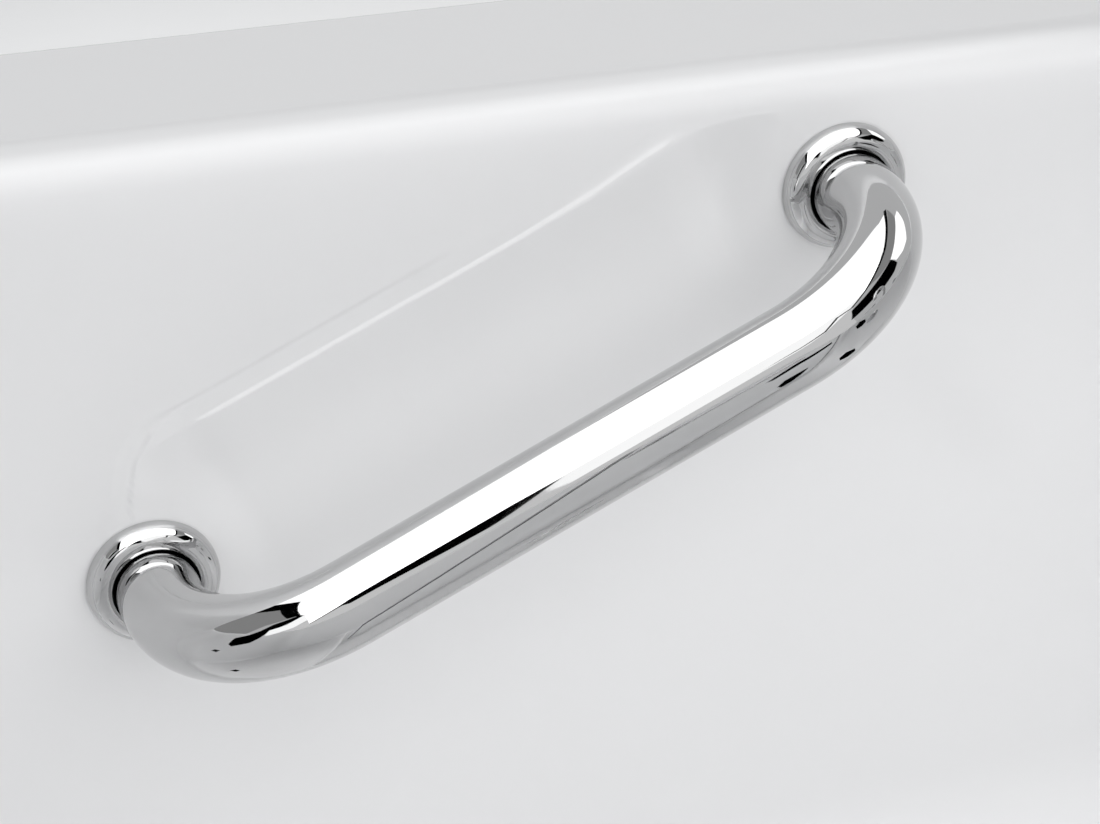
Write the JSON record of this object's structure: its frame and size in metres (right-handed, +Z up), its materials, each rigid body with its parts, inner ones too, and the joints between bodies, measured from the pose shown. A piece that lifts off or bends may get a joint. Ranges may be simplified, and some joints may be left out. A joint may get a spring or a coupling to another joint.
{
  "type": "walk-in bathtub",
  "caption": "Walk-in bathtub with an outward swinging sealed side door, moulded seat, foot well and an inclined chrome grab bar under the rim.",
  "frame": {"origin": "on the floor, under the centre of the whole object's bounding box", "axes": "+X along the tub towards the taps, +Y from the door side towards the wall side, +Z up"},
  "size_m": [1.32, 0.778, 1.133],
  "materials": {
    "shell": "gloss white gelcoat",
    "panel": "gloss white",
    "door_frame": "brushed stainless",
    "frame_steel": "mill finish stainless",
    "chrome": "polished",
    "bolt_steel": "bright",
    "plywood": "plywood",
    "seal": "matt",
    "gasket": "matt",
    "plug": "moulded",
    "brass": "machined",
    "copper": "drawn tube",
    "pipe": "moulded",
    "cable": "sheathed",
    "foot": "moulded",
    "red": "gloss",
    "blue": "gloss"
  },
  "bodies": {
    "root": {"tub_shell": "shell", "door_frame": "door_frame", "front_apron": "panel", "access_panel": "panel", "access_panel_screws": "bolt_steel", "left_end_panel": "panel", "right_end_panel": "panel", "frame_long_rails": "frame_steel", "frame_cross_rails": "frame_steel", "frame_uprights": "frame_steel", "seat_frame": "frame_steel", "seat_board": "plywood", "floor_board": "plywood", "foot_front_left": "foot", "foot_front_right": "foot", "foot_rear_left": "foot", "foot_rear_right": "foot", "foot_lock_nuts": "bolt_steel", "grab_bar": "chrome", "grab_bar_covers": "chrome", "grab_bar_end_plugs": "plug", "grab_bar_studs": "bolt_steel", "grab_bar_gaskets": "gasket", "grab_bar_backing_plate": "bolt_steel", "grab_bar_washers": "bolt_steel", "grab_bar_nuts": "bolt_steel", "spout": "chrome", "spout_aerator": "chrome", "tap_bases": "chrome", "hot_valve": "brass", "cold_valve": "brass", "deck_nuts": "brass", "tap_link_pipes": "copper", "overflow_plate": "chrome", "overflow_elbow": "pipe", "overflow_pipe": "pipe", "drain_flange": "chrome", "drain_shoe": "pipe", "drain_pipe": "pipe", "drain_tee": "pipe", "drain_cable": "cable", "hinge_frame_leaves": "door_frame", "hinge_pins": "bolt_steel", "hinge_frame_screws": "bolt_steel", "latch_keeper": "bolt_steel"},
    "door": {"door_outer_panel": "panel", "door_inner_panel": "panel", "door_core": "frame_steel", "door_seal": "seal", "hinge_door_leaves": "door_frame", "hinge_door_screws": "bolt_steel"},
    "latch": {"latch_lever": "chrome", "latch_cam": "bolt_steel", "latch_thumb_turn": "chrome"},
    "hot_tap": {"hot_tap_lever": "chrome", "hot_index": "red"},
    "cold_tap": {"cold_tap_lever": "chrome", "cold_index": "blue"},
    "overflow_dial": {"overflow_knob": "chrome"},
    "stopper": {"drain_stopper": "chrome"}
  },
  "joints": [
    {"name": "door_hinge", "type": "hinge", "parent": "root", "child": "door", "pos_m": [0.39, -0.381, 0.57], "axis": [0, 0, 1], "range_deg": [0, 110]},
    {"name": "latch_turn", "type": "hinge", "parent": "door", "child": "latch", "pos_m": [0.02, -0.338, 0.9], "axis": [0, 1, 0], "range_deg": [0, 90]},
    {"name": "hot_tap_turn", "type": "hinge", "parent": "root", "child": "hot_tap", "pos_m": [0.548, -0.1165, 0.98], "axis": [0, 0, -1], "range_deg": [0, 90]},
    {"name": "cold_tap_turn", "type": "hinge", "parent": "root", "child": "cold_tap", "pos_m": [0.548, 0.0935, 0.98], "axis": [0, 0, 1], "range_deg": [0, 90]},
    {"name": "overflow_turn", "type": "hinge", "parent": "root", "child": "overflow_dial", "pos_m": [0.42, -0.0115, 0.85], "axis": [-1, 0, 0], "range_deg": [0, 90]},
    {"name": "stopper_lift", "type": "slide", "parent": "root", "child": "stopper", "axis": [0, 0, 1], "range_m": [0, 0.01]}
  ],
  "couplings": [
    {"joint": "overflow_turn", "follows": "stopper_lift", "rad_per_m": 157.07}
  ]
}
